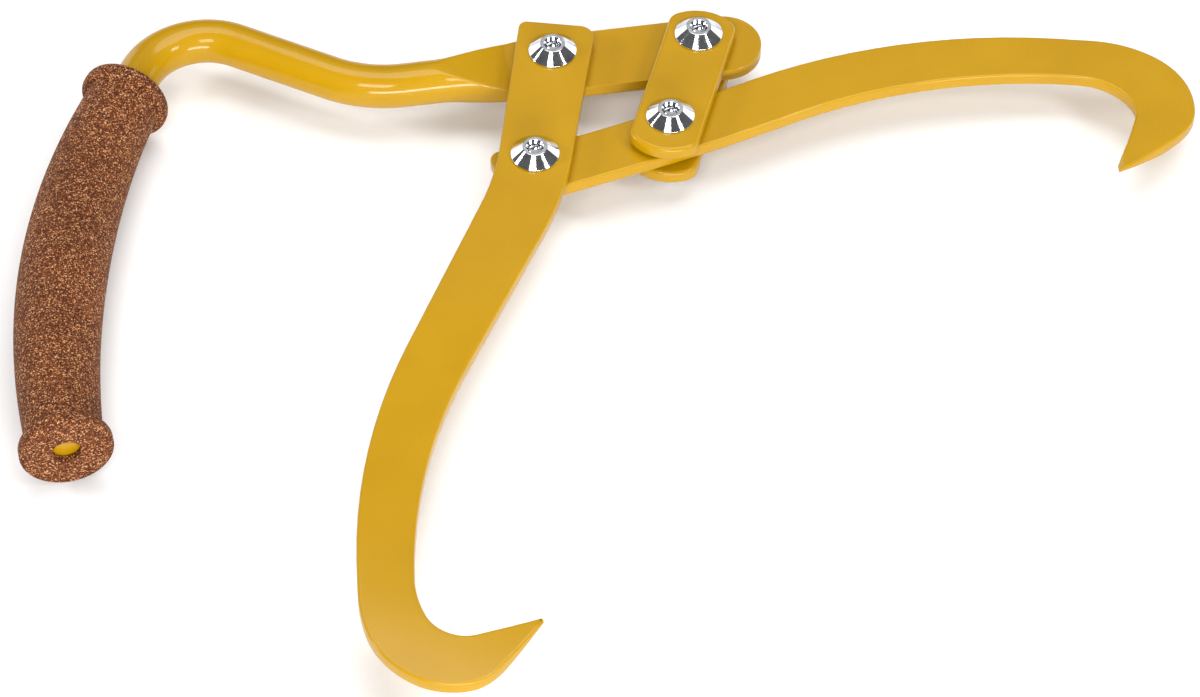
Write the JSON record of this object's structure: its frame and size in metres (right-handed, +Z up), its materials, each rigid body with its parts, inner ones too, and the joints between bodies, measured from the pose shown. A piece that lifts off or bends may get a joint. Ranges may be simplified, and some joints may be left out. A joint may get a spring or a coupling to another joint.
{
  "type": "log tongs",
  "caption": "Hand-held log tongs: a bent steel bar with a side grip carries two hooked jaws on a four-bar linkage that closes them as the load pulls.",
  "frame": {"origin": "on the axis of the bar's link pivot, in the lower end face of its screw", "axes": "+X along the bar's blade towards its nose, +Y away from the grip and the jaws in the plane of the plates, +Z up through the plates towards the screw heads"},
  "size_m": [0.4352, 0.3205, 0.0353],
  "materials": {
    "yellow_paint": "satin",
    "grip_granulate": "matte",
    "screw_chrome": "polished",
    "zinc_steel": "satin",
    "shim_steel": "satin",
    "nylon": "matte"
  },
  "bodies": {
    "handle": {"handle_bar": "yellow_paint", "grip": "grip_granulate"},
    "front_arm": {"front_jaw": "yellow_paint", "screw_bar_jaw": "screw_chrome", "washer_bar_jaw": "zinc_steel", "nut_bar_jaw": "zinc_steel", "nut_ring_bar_jaw": "nylon", "screw_jaw_cross": "screw_chrome", "washer_jaw_cross": "zinc_steel", "nut_jaw_cross": "zinc_steel", "nut_ring_jaw_cross": "nylon", "shim_bar_jaw": "shim_steel", "shim_jaw_cross": "shim_steel"},
    "rear_arm": {"rear_jaw": "yellow_paint"},
    "link_pair": {"front_link": "yellow_paint", "rear_link": "yellow_paint", "screw_bar_link": "screw_chrome", "washer_bar_link": "zinc_steel", "nut_bar_link": "zinc_steel", "nut_ring_bar_link": "nylon", "screw_link_jaw": "screw_chrome", "washer_link_jaw": "zinc_steel", "nut_link_jaw": "zinc_steel", "nut_ring_link_jaw": "nylon", "shim_bar_link_front": "shim_steel", "shim_bar_link_rear": "shim_steel", "shim_link_jaw_front": "shim_steel", "shim_link_jaw_rear": "shim_steel"}
  },
  "joints": [
    {"name": "front_arm_turn", "type": "hinge", "parent": "handle", "child": "front_arm", "pos_m": [-0.054, 0, 0.0189], "axis": [0, 0, 1], "range_deg": [-5, 58]},
    {"name": "rear_arm_turn", "type": "hinge", "parent": "front_arm", "child": "rear_arm", "pos_m": [-0.06802, -0.04955, 0.0189], "axis": [0, 0, 1], "range_deg": [-60.5, 5.3]},
    {"name": "link_pair_turn", "type": "hinge", "parent": "handle", "child": "link_pair", "pos_m": [0, 0, 0.0189], "axis": [0, 0, 1], "range_deg": [-6.2, 71.3]}
  ],
  "couplings": [
    {"joint": "rear_arm_turn", "follows": "front_arm_turn", "ratio": -1.0419},
    {"joint": "link_pair_turn", "follows": "front_arm_turn", "ratio": 1.2281}
  ]
}
